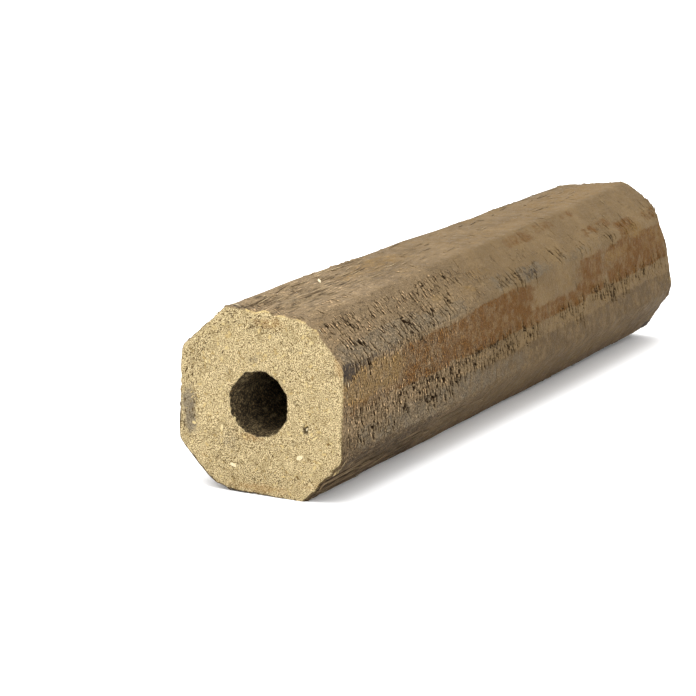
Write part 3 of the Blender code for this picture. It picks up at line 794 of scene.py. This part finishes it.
def thinned(mesh, keep, triangles):     # fewer triangles, most of them where they are wanted
    raw = addObject(mesh.name + "Raw", mesh)
    group = raw.vertex_groups.new(name="plain")
    count = skin["keepLevels"]
    levels = np.round(count * (1.0 - np.clip(keep, 0.0, 1.0))).astype(int)
    for level in range(count + 1):
        group.add(np.flatnonzero(levels == level).tolist(), level / count, "REPLACE")
    thin = raw.modifiers.new("thin", "DECIMATE")
    thin.ratio = triangles / (2.0 * len(mesh.polygons))
    thin.vertex_group = group.name
    thin.vertex_group_factor = skin["keepPull"]
    thin.use_collapse_triangulate = True
    made = bpy.data.meshes.new_from_object(raw.evaluated_get(bpy.context.evaluated_depsgraph_get()))
    made.name = mesh.name
    bpy.data.objects.remove(raw)
    bpy.data.meshes.remove(mesh)
    made.shade_smooth()
    return made


# Materials

class Value:                        # a node's output; sums and products of it add Math nodes
    def __init__(self, nodes, socket):
        self.nodes, self.socket = nodes, socket

    def maths(self, operation, first, second=0.0):
        return self.nodes.node("ShaderNodeMath", {"operation": operation}, {0: first, 1: second})

    def __add__(self, other):
        return self.maths("ADD", self, other)

    def __sub__(self, other):
        return self.maths("SUBTRACT", self, other)

    def __rsub__(self, other):
        return self.maths("SUBTRACT", other, self)

    def __mul__(self, other):
        return self.maths("MULTIPLY", self, other)

    __radd__ = __add__
    __rmul__ = __mul__


class Nodes:
    def __init__(self, name):
        self.material = bpy.data.materials.new(name)
        self.material.use_nodes = True
        self.tree = self.material.node_tree
        self.shader = self.tree.nodes["Principled BSDF"]

    def feed(self, socket, value):
        if isinstance(value, Value):
            self.tree.links.new(value.socket, socket)
        else:
            socket.default_value = value

    def node(self, kind, settings=None, values=None, output=0):
        made = self.tree.nodes.new(kind)
        for name, value in (settings or {}).items():
            if name == "stops":
                self.setStops(made.color_ramp, value)
            else:
                setattr(made, name, value)
        for name, value in (values or {}).items():
            self.feed(made.inputs[name], value)
        return Value(self, made.outputs[output])

    def setStops(self, ramp, stops):
        while len(ramp.elements) < len(stops):
            ramp.elements.new(0.5)
        for element, (place, colour) in zip(ramp.elements, stops):
            element.position, element.color = place, (*colour, 1.0)

    def mask(self, name):
        return self.node("ShaderNodeAttribute", {"attribute_name": name}, None, "Fac")

    def vector(self, name):
        return self.node("ShaderNodeAttribute", {"attribute_name": name}, None, "Vector")

    def stretch(self, vector, factors):
        return self.node("ShaderNodeVectorMath", {"operation": "MULTIPLY"}, {0: vector, 1: factors})

    def noise(self, vector, scale, detail=3.0, roughness=0.55):
        return self.node(
            "ShaderNodeTexNoise", None,
            {"Vector": vector, "Scale": scale, "Detail": detail, "Roughness": roughness}, "Fac")

    def cells(self, vector, scale, output="Color"):
        return self.node("ShaderNodeTexVoronoi", None, {"Vector": vector, "Scale": scale}, output)

    def span(self, value, low, high, bottom=0.0, top=1.0):      # low..high becomes bottom..top
        return self.node(
            "ShaderNodeMapRange", {"interpolation_type": "SMOOTHSTEP"},
            {"Value": value, "From Min": low, "From Max": high, "To Min": bottom, "To Max": top})

    def mix(self, factor, first, second, mode="MIX"):
        first, second = (value if isinstance(value, Value) else (*value, 1.0) for value in (first, second))
        return self.node(
            "ShaderNodeMix", {"data_type": "RGBA", "blend_type": mode}, {0: factor, 6: first, 7: second}, 2)

    def bump(self, height, distance, strength=1.0):
        values = {"Height": height, "Distance": distance, "Strength": strength}
        return self.node("ShaderNodeBump", None, values, "Normal")


wood = {
    "tan": (0.170, 0.119, 0.067),
    "tanFar": (0.148, 0.099, 0.048),
    # darkest brown: painted shade under the lower slants
    "deep": (0.040, 0.026, 0.015),
    "brown": (0.075, 0.050, 0.026),
    # dark brown: painted shade on the lower sides, and also the darkest splinter tint
    "low": (0.055, 0.036, 0.019),
    "cool": (0.103, 0.082, 0.055),
    "rust": (0.090, 0.041, 0.010),
    # paler brown: painted light on the top
    "upper": (0.220, 0.156, 0.088),
    "gold": (0.150, 0.092, 0.034),
    "scorch": (0.018, 0.016, 0.017),
    # dark browns: painted shade in the tear pits, creases and slits, and also the fibres' own dark specks
    "pit": (0.015, 0.007, 0.002),
    "pitFar": (0.034, 0.020, 0.008),
    # pale tan: painted highlight on the raised lips beside the tears
    "lip": (0.360, 0.258, 0.148),
    "pale": (0.280, 0.208, 0.112),
    "straw": (0.410, 0.308, 0.138),
    "strawDark": (0.118, 0.072, 0.024),
    "strawPale": (0.820, 0.665, 0.378),
    "ochre": (0.230, 0.163, 0.068),
    "cream": (0.600, 0.515, 0.345),
    "orange": (0.300, 0.146, 0.038),
    "ash": (0.175, 0.147, 0.110),
    # darkest fleck: the fibres' own dark specks, also painted shade in the face hollows and along the lower
    # rim
    "speck": (0.036, 0.021, 0.009),
    "char": (0.044, 0.033, 0.020),
    "charLight": (0.330, 0.240, 0.122),
    "chipDark": (0.085, 0.050, 0.020),
    "chipPale": (0.480, 0.390, 0.205),
}
finish = {
    # the top zone is painted light, the low and deep zones painted shade; the others are the skin's own
    # colours
    "zones": {"upper": 0.6, "low": 0.62, "deep": 0.75, "cool": 0.75, "rust": 1.0, "gold": 0.85},
    "raisedHighlight": (2.7, 2.6, 2.5),      # painted highlight: how much paler a raised edge is
    "specular": 0.03,
    "gloss": (0.55, 0.74),          # roughness of the skin, from its smoothest to its dullest spots
    "relief": 0.0007,               # depth of the finest grain
    "strokeLean": 0.28,             # of the smallest tears, in radians
    "strokeSize": (0.0028, 0.00115, 0.0028),
    # shift of the painted highlight beside each small tear
    "strokeLip": 0.00055,
    "fibreSpecular": 0.15,
    "fibreRoughness": 0.85,
    "fibreRelief": 0.0002,
}


def skinColour(n, flat):
    along = n.stretch(flat, (1.0, 0.13, 1.0))
    lengthwise = n.mask("lengthwise")
    contrast = n.mask("near") * 0.82 + 0.18
    blotch = n.span(n.noise(flat, 60.0, 4.0), 0.38, 0.62)
    streak = n.span(n.noise(along, 480.0, 4.0, 0.6), 0.35, 0.65)
    colour = n.mix(n.mask("near"), wood["tanFar"], wood["tan"])
    colour = n.mix(blotch * 0.35 + streak * contrast * 0.35, colour, wood["brown"])
    patchy = n.noise(flat, 190.0, 5.0, 0.6) - 0.5
    mottle = n.span(n.noise(flat, 240.0, 4.0, 0.6), 0.38, 0.56, 0.5, 1.0)
    # colour zones, among them painted light on the top and painted shade on the lower sides
    for name, share in finish["zones"].items():
        zone = n.span(n.mask(name) + patchy * 1.5, 0.20, 0.80) * mottle
        colour = n.mix(zone * share, colour, wood[name])
    scales = n.noise(n.stretch(flat, (1.0, 0.8, 1.0)), 1500.0, 2.0, 0.6)
    threads = n.noise(along, 1300.0, 3.0, 0.65)
    grain = scales + (threads - scales) * lengthwise
    stroke, strokeLip = smallTears(n, flat)
    # grain contrast: the fibres' own pale and dark specks, with painted glints in the brightest ones
    grainAndGlint = (n.span(grain, 0.54, 0.67) * 1.2 - n.span(grain, 0.47, 0.35) * 0.65) * contrast + 1.0
    colour = n.mix(1.0, colour, grainAndGlint, "MULTIPLY")
    fine = n.noise(flat, 2600.0, 2.0, 0.6)
    colour = n.mix(n.span(fine, 0.56, 0.66) * contrast * 0.55, colour, wood["pale"])
    colour = n.mix(n.span(fine, 0.44, 0.34) * contrast * 0.60, colour, wood["pit"])
    # less pale fibre where the underside's painted shade lies
    colour = n.mix(n.mask("flake") * streak * contrast * (0.4 - n.mask("deep") * 0.3), colour, wood["pale"])
    # painted shade in the layer steps and creases
    colour = n.mix(n.mask("crack") * (contrast * 0.5 + 0.25), colour, wood["pit"])
    broken = n.noise(flat, 700.0, 4.0, 0.7) - 0.5
    scorch = n.span(n.mask("scorch") + broken * 2.4, 0.25, 0.80)
    colour = n.mix(scorch * 0.80, colour, wood["scorch"])
    colour = n.mix(n.span(n.mask("dust") + broken * 2.0, 0.45, 0.75), colour, wood["straw"])
    # painted highlight on the raised lips beside the tears
    lipHighlight = n.mask("lip") * n.span(broken, -0.15, 0.1) * (contrast * 0.75 + 0.10)
    colour = n.mix(lipHighlight, colour, wood["lip"])
    # painted highlight on the small tears' raised edges, then painted shade in their slits
    raisedHighlight = n.mix(1.0, colour, finish["raisedHighlight"], "MULTIPLY")
    colour = n.mix(strokeLip * (contrast * 0.75 + 0.05), colour, raisedHighlight)
    colour = n.mix(stroke * (contrast * 0.65 + 0.15), colour, wood["pit"])
    relief = grain + fine * 0.4 - stroke * 1.1 + strokeLip * 0.4
    # painted shade in the tear pits, darker near the near end
    pit = n.mix(n.mask("near"), wood["pitFar"], wood["pit"])
    return n.mix(n.span(n.mask("tear"), 0.10, 0.50), colour, pit), relief


def smallTears(n, flat):            # short slits where the skin is torn, with painted shade in them and painted highlight on their raised edges
    made = []
    for shift in (0.0, finish["strokeLip"]):
        leaning = n.node("ShaderNodeMapping", {"vector_type": "TEXTURE"}, {
            "Vector": flat,
            "Location": (0.0, shift, 0.0),
            "Rotation": (finish["strokeLean"], 0.0, 0.0),
            "Scale": finish["strokeSize"],
        })
        size = n.node("ShaderNodeSeparateColor", None, {"Color": n.cells(leaning, 1.0)}, 0)
        reach = n.span(n.mask("torn"), 0.03, 0.60) * (size * 0.22 + 0.23)
        made.append(n.span(n.cells(leaning, 1.0, "Distance") - reach, 0.0, -0.08))
    return made[0], made[1] * (1.0 - made[0])


def faceColour(n, spot):
    crumb = n.noise(spot, 2600.0, 3.0, 0.75)
    colour = n.mix(n.span(crumb, 0.42, 0.57), wood["strawDark"], wood["strawPale"])
    blotch = n.span(n.noise(spot, 130.0, 4.0), 0.36, 0.64)
    colour = n.mix(blotch * 0.10 + 0.05, colour, wood["straw"])
    swath = n.span(n.noise(spot, 260.0, 4.0, 0.6), 0.50, 0.68)
    colour = n.mix(swath * 0.38, colour, wood["ochre"])
    patchy = n.noise(spot, 420.0, 4.0, 0.65) - 0.5
    warm = n.span(n.mask("warm") + patchy * 1.4, 0.25, 0.85)
    colour = n.mix(warm * 0.40, colour, wood["orange"])
    smudge = n.span(n.mask("smudge") + patchy * 1.1, 0.25, 0.85)
    colour = n.mix(smudge * 0.75, colour, wood["ash"])
    fine = n.noise(spot, 2000.0, 3.0, 0.7)
    crumbly = n.span(n.mask("crumbly") + patchy * 1.2, 0.15, 0.75)
    gaps = n.span(fine - crumbly * 0.045, 0.42, 0.33)
    colour = n.mix(gaps * (crumbly * 0.40 + 0.50), colour, wood["speck"])
    colour = n.mix(n.span(fine, 0.61, 0.72, 0.0, 0.60), colour, wood["strawPale"])
    # painted shade in the hollows
    return n.mix(n.mask("hollow") * 0.8, colour, wood["speck"]), crumb, fine


def woodMaterial():
    n = Nodes("pressedBeech")
    flat = n.vector("unrolled")
    spot = n.node("ShaderNodeTexCoord", None, None, "Object")
    face, char = n.mask("face"), n.mask("char")
    skinTone, skinRelief = skinColour(n, flat)
    faceTone, crumb, dust = faceColour(n, spot)
    burnt = n.noise(spot, 1300.0, 4.0, 0.75)
    charTone = n.mix(n.span(burnt, 0.49, 0.62), wood["char"], wood["charLight"])
    # a dark band of painted shade where the end faces meet the skin, on the lower rim
    rind = n.span(face, 0.0, 0.35) * n.span(face, 0.95, 0.45) * n.mask("rind")
    colour = n.mix(face, skinTone, faceTone)
    colour = n.mix(rind * 0.8, colour, wood["speck"])
    n.feed(n.shader.inputs["Base Color"], n.mix(char, colour, charTone))
    gloss = n.span(n.noise(flat, 300.0, 3.0), 0.3, 0.7, *finish["gloss"])
    n.feed(n.shader.inputs["Roughness"], gloss + face * 0.20 + char * 0.10)
    n.shader.inputs["Specular IOR Level"].default_value = finish["specular"]
    relief = skinRelief * (1.0 - face) + (crumb + dust * 0.5) * face * 1.2
    n.feed(n.shader.inputs["Normal"], n.bump(relief, finish["relief"]))
    return n.material


def addPiece(name, mesh, material):
    mesh.materials.clear()
    mesh.materials.append(material)
    piece = addObject(name, mesh)
    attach(piece, "root")
    return piece


body = addPiece("briquetteSkin", thinned(*makeSkinMesh(), skin["triangles"]), woodMaterial())
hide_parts("briquette")
print("skin made", len(body.data.polygons))


# Chips of wood pressed into the end faces

chips = {
    "count": 560,                   # on each end face
    "length": (0.0007, 0.0024),
    "slim": (0.22, 0.60),           # width as a share of the length
    "tints": (0.60, 0.10),          # the usual tint and its spread
    "odd": (0.10, 0.92),            # below the first share a chip is dark, above the second it is pale
    "darkTint": (0.08, 0.25),
    "paleTint": (0.80, 0.92),
    "rise": 0.00013,
    "sink": 0.00035,
    "corners": 7,
    "wobble": (0.75, 1.15),
    "taper": 0.86,                  # the top as a share of the bottom
    "crown": 1.25,
    "tilt": 0.16,
    "seed": 7,
    "placed": (                     # near end: x, z, length, width, turn in degrees, tint
        (0.0156, 0.0154, 0.0034, 0.0022, 35, 0.95), (-0.0106, 0.0096, 0.0032, 0.0016, -15, 0.95),
        (-0.0151, 0.0226, 0.0036, 0.0012, 82, 0.85), (0.0178, 0.0256, 0.0016, 0.0008, 70, 0.98),
        (-0.016, 0.03, 0.0026, 0.0009, 60, 0.85), (0.006, 0.046, 0.0022, 0.001, 30, 0.85),
        (0.0215, 0.023, 0.003, 0.0009, 40, 0.82), (0.0265, 0.033, 0.0036, 0.0008, 50, 0.82),
    ),
    "rimMarks": {                   # slim dark ones that lie along the rim
        "count": 70,
        "degrees": (85.0, 205.0),
        "inset": (0.0016, 0.0070),
        "lean": (-25.0, 25.0),
        "tint": (0.05, 0.25),
        "length": (0.0008, 0.0020),
        "width": (0.0002, 0.0004),
    },
}


def chipList(end):
    draw = random.Random(chips["seed"] + end)
    made = list(chips["placed"]) if end == 0 else []
    reach = (0.5 * log["bore"] + 0.0012, 0.5 * log["width"] - 0.0016)
    while len(made) < chips["count"]:
        angle = draw.uniform(0.0, math.tau)
        radius = math.sqrt(draw.uniform(reach[0] ** 2, (reach[1] + 0.002) ** 2))
        edge = float(sectionRadius(0.5 * log["length"], angle))
        length = chips["length"][0] + (chips["length"][1] - chips["length"][0]) * draw.random() ** 2.2
        slim = draw.uniform(*chips["slim"])
        turn = draw.uniform(0.0, 180.0)
        tint, odd = draw.gauss(*chips["tints"]), draw.random()
        if odd < chips["odd"][0]:
            length, slim, tint = 0.75 * length, min(slim, 0.3), draw.uniform(*chips["darkTint"])
        elif odd > chips["odd"][1]:
            length, tint = 0.65 * length, draw.uniform(*chips["paleTint"])
        if radius < edge - 0.0018 - 0.5 * length:
            made.append((*faceSpot(end, radius, angle), length, length * slim, turn, tint))
    rim = chips["rimMarks"]
    for mark in range(rim["count"]):
        angle = math.radians(draw.uniform(*rim["degrees"]) + 180.0 * end)
        radius = float(sectionRadius(0.5 * log["length"], angle)) - draw.uniform(*rim["inset"])
        turn = math.degrees(angle) + 90.0 + draw.uniform(*rim["lean"])
        tint = draw.uniform(*rim["tint"])
        length, width = draw.uniform(*rim["length"]), draw.uniform(*rim["width"])
        made.append((*faceSpot(end, radius, angle), length, width, turn, tint))
    return np.array(made)


def faceSpot(end, radius, angle):
    turned = angle + turnAt(log["length"] * end)
    height = (lowFar if end else lowNear) - log["settled"]
    return radius * math.cos(turned) - middle[0], radius * math.sin(turned) + height


def chipPoints(length, width, draw):    # a low lump with uneven corners, in its own frame
    low = []
    for corner in range(chips["corners"]):
        a = math.tau * corner / chips["corners"]
        wobble = draw.uniform(*chips["wobble"])
        u, v = 0.5 * length * math.cos(a) * wobble, 0.5 * width * math.sin(a) * wobble
        low.append((u, v, -chips["sink"]))
    high = [(u * chips["taper"], v * chips["taper"], chips["rise"]) for u, v, height in low]
    return low + high + [(0.0, 0.0, -chips["sink"]), (0.0, 0.0, chips["rise"] * chips["crown"])]


def makeChips():
    points, faces, tints = [], [], []
    corners = chips["corners"]
    for end in (0, 1):
        table = chipList(end)
        draw = random.Random(chips["seed"] + 10 + end)
        out = 2 * end - 1
        depth = np.full(len(table), 0.5 * log["length"] * out)
        place = np.stack([table[:, 0] + middle[0], depth, table[:, 1]], -1)
        lift = faceLift(place)[0] - facePits(table[:, 0], table[:, 1]) * (end == 0)
        for (x, z, length, width, turn, tint), rise in zip(table, lift):
            cosine, sine = math.cos(math.radians(turn)), math.sin(math.radians(turn))
            tiltA, tiltB = (draw.uniform(-chips["tilt"], chips["tilt"]) for way in range(2))
            start = len(points)
            for u, v, height in chipPoints(length, width, draw):
                height += tiltA * u + tiltB * v
                away = out * (0.5 * log["length"] + rise + height)
                points.append((x + u * cosine - v * sine, away, z + u * sine + v * cosine))
                tints.append(tint)
            bottom, top = start + 2 * corners, start + 2 * corners + 1
            for corner in range(corners):
                after = (corner + 1) % corners
                low, high = start + corner, start + corners + corner
                lowNext, highNext = start + after, start + corners + after
                ring = [(low, lowNext, highNext, high), (high, highNext, top), (lowNext, low, bottom)]
                faces += ring if end else [face[::-1] for face in ring]
    mesh = bpy.data.meshes.new("endChips")
    mesh.from_pydata(points, [], faces)
    storeValues(mesh, "tint", tints)
    return mesh


def fibreMaterial(name, stops):
    n = Nodes(name)
    spot = n.node("ShaderNodeTexCoord", None, None, "Object")
    tint = n.mask("tint") + (n.noise(spot, 1400.0, 3.0) - 0.5) * 0.5
    colour = n.node("ShaderNodeValToRGB", {"stops": stops}, {"Fac": tint}, "Color")
    n.feed(n.shader.inputs["Base Color"], colour)
    n.shader.inputs["Roughness"].default_value = finish["fibreRoughness"]
    n.shader.inputs["Specular IOR Level"].default_value = finish["fibreSpecular"]
    grain = n.noise(n.stretch(spot, (1.0, 0.4, 1.0)), 2200.0, 2.0)
    n.feed(n.shader.inputs["Normal"], n.bump(grain, finish["fibreRelief"], 0.6))
    return n.material


chipStops = (
    (0.0, wood["speck"]), (0.16, wood["chipDark"]), (0.36, wood["strawDark"]), (0.60, wood["straw"]),
    (0.86, wood["chipPale"]), (1.0, wood["cream"]))
chipPiece = addPiece("endChips", makeChips(), fibreMaterial("embeddedChips", chipStops))
print("chips made", len(chipPiece.data.polygons))


# Loose splinters and fibres on the skin, along the rims and beside the tears

splinters = {
    "seed": 23,
    "rows": 6,                      # rings along each splinter
    "groups": (
        # how many, along from, to, degrees from, to, heading from, to (0 is along the log),
        # length from, to, width from, to, lift of its end, tint from, to
        (70, 0.004, 0.100, 78.0, 112.0, -9.0, 9.0, 0.004, 0.018, 0.00030, 0.00060, 0.00030, 0.35, 0.9),
        (40, 0.100, 0.300, 70.0, 115.0, -8.0, 8.0, 0.003, 0.012, 0.00025, 0.00050, 0.00020, 0.3, 0.8),
        (60, 0.001, 0.040, 296.0, 318.0, 2.0, 16.0, 0.008, 0.026, 0.00030, 0.00060, 0.00040, 0.25, 0.8),
        (50, 0.020, 0.120, 300.0, 325.0, 0.0, 10.0, 0.006, 0.020, 0.00025, 0.00050, 0.00025, 0.2, 0.6),
        (60, 0.010, 0.300, 200.0, 232.0, -9.0, 9.0, 0.004, 0.016, 0.00030, 0.00055, 0.00030, 0.25, 0.8),
        (90, 0.0008, 0.0030, 0.0, 360.0, 70.0, 110.0, 0.0010, 0.0032, 0.00025, 0.00050, 0.00045, 0.4, 1.0),
        (90, 0.3070, 0.3092, 0.0, 360.0, 70.0, 110.0, 0.0010, 0.0032, 0.00025, 0.00050, 0.00045, 0.4, 1.0),
        (90, 0.004, 0.306, 0.0, 360.0, -90.0, 90.0, 0.0010, 0.0030, 0.00020, 0.00036, 0.00020, 0.3, 0.8),
    ),
    "lips": 600,                    # fibres raised beside tears
    "lipTint": (0.30, 0.80),
    "lipWidth": (0.00022, 0.00038),
    "lipLift": 0.00022,
    "bend": 0.10,                   # sideways, as a share of the length
    "bed": 0.00006,                 # how far the middle stands off the skin
    "endGap": 0.0004,               # from the log's ends
    "placed": ((0.054, 100.0, 35.0, 0.0042, 0.0009, 0.0005, 1.0),),     # the pale one on top
}


def splinterList():
    draw = random.Random(splinters["seed"])
    made = list(splinters["placed"])
    for count, a0, a1, d0, d1, h0, h1, l0, l1, w0, w1, lift, t0, t1 in splinters["groups"]:
        for number in range(count):
            along, degrees, heading = draw.uniform(a0, a1), draw.uniform(d0, d1), draw.uniform(h0, h1)
            length = l0 + (l1 - l0) * draw.random() ** 1.6
            width, tint = draw.uniform(w0, w1), draw.uniform(t0, t1)
            made.append((along, degrees, heading, length, width, lift * draw.uniform(0.3, 1.0), tint))
    for along, degrees, size, opening, slant, strength in draw.sample(tearPlaces, splinters["lips"]):
        heading = 90.0 - math.degrees(math.atan(slant)) + draw.uniform(-10.0, 10.0)
        length = size * draw.uniform(0.45, 0.85)
        width, tint = draw.uniform(*splinters["lipWidth"]), draw.uniform(*splinters["lipTint"])
        lift = splinters["lipLift"] * draw.random()
        made.append((along - 0.62 * opening, degrees, heading, length, width, lift, tint))
    return np.array(made)


def makeSplinters():
    table = splinterList()
    draw = np.random.default_rng(splinters["seed"])
    along, degrees, heading, length, width, lift, tint = (column[:, None] for column in table.T)
    s = np.linspace(-0.5, 0.5, splinters["rows"])[None, :]
    bend = draw.uniform(-splinters["bend"], splinters["bend"], along.shape) * (s * s - 0.25)
    forward, aside = np.cos(np.radians(heading)), np.sin(np.radians(heading))
    a = along + length * (s * forward - bend * aside)
    a = np.clip(a, splinters["endGap"], log["length"] - splinters["endGap"])
    angle = np.radians(degrees) + length * (s * aside + bend * forward) / (0.5 * log["width"])
    height = splinters["bed"] + lift * (s + 0.5) ** 2
    centre = surface(a, 0.0, angle, height) - middle
    turned = angle + turnAt(a)
    out = np.stack([np.cos(turned), 0.0 * turned, np.sin(turned)], -1)
    way = np.gradient(centre, axis=1)
    side = np.cross(way, out)
    side /= np.linalg.norm(side, axis=-1, keepdims=True) + 1e-12
    taper = (1.0 - np.abs(2.0 * s) ** 2.5) * 0.85 + 0.15
    half = (0.5 * width * taper)[..., None]
    above, below = centre + out * half * 0.6, centre - out * half * 1.1
    ring = np.stack([centre + side * half, above, centre - side * half, below], 2)
    ring[..., 2] = np.maximum(ring[..., 2], 0.0)
    count, rows = ring.shape[:2]
    points = ring.reshape(-1, 3)
    faces = []
    for number in range(count):
        start = number * rows * 4
        for row in range(rows - 1):
            for corner in range(4):
                low, high = start + row * 4, start + (row + 1) * 4
                after = (corner + 1) % 4
                faces.append((low + corner, low + after, high + after, high + corner))
        last = start + (rows - 1) * 4
        faces += [(start + 3, start + 2, start + 1, start), (last, last + 1, last + 2, last + 3)]
    mesh = bpy.data.meshes.new("splinters")
    mesh.from_pydata(points.tolist(), [], faces)
    storeValues(mesh, "tint", np.repeat(table[:, 6], rows * 4))
    return mesh


splinterStops = (
    (0.0, wood["low"]), (0.35, wood["brown"]), (0.65, wood["tan"]), (0.9, wood["pale"]),
    (1.0, wood["cream"]))
splinterPiece = addPiece("looseSplinters", makeSplinters(), fibreMaterial("looseFibre", splinterStops))
print("splinters made", len(splinterPiece.data.polygons))


# Floor and light

studio = {
    "floorReach": 9.0,              # from the log to the floor's edges
    "floorColour": (0.90, 0.90, 0.90),
    "floorRoughness": 0.9,
    "floorSpecular": 0.1,
    "aim": (0.0, 0.0, 0.03),
    "sky": (1.0, 1.0, 1.0),
    "skyStrength": 1.65,
    "key": {"place": (-0.30, -0.35, 1.6), "size": 2.0, "power": 32.0},
}


def makeFloor():
    reach = studio["floorReach"]
    corners = [(reach * x, reach * y, 0.0) for x, y in ((-1, -1), (1, -1), (1, 1), (-1, 1))]
    mesh = bpy.data.meshes.new("floor")
    mesh.from_pydata(corners, [], [(0, 1, 2, 3)])
    floor = addObject("floor", mesh)
    n = Nodes("floor")
    n.shader.inputs["Base Color"].default_value = (*studio["floorColour"], 1.0)
    n.shader.inputs["Roughness"].default_value = studio["floorRoughness"]
    n.shader.inputs["Specular IOR Level"].default_value = studio["floorSpecular"]
    mesh.materials.append(n.material)


def makeLight(name):
    values = studio[name]
    light = bpy.data.lights.new(name, "AREA")
    light.shape = "DISK"
    light.size = values["size"]
    light.energy = values["power"]
    lamp = addObject(name, light)
    lamp.location = values["place"]
    aim = Vector(studio["aim"]) - lamp.location
    lamp.rotation_mode = "QUATERNION"
    lamp.rotation_quaternion = aim.to_track_quat("-Z", "Y")


def makeSky():
    world = bpy.data.worlds.new("sky")
    world.use_nodes = True
    back = world.node_tree.nodes["Background"]
    back.inputs["Color"].default_value = (*studio["sky"], 1.0)
    back.inputs["Strength"].default_value = studio["skyStrength"]
    bpy.context.scene.world = world


makeFloor()
makeLight("key")
makeSky()
bpy.context.scene.view_settings.view_transform = "Standard"
bpy.context.scene.view_settings.look = "None"
print("studio made")
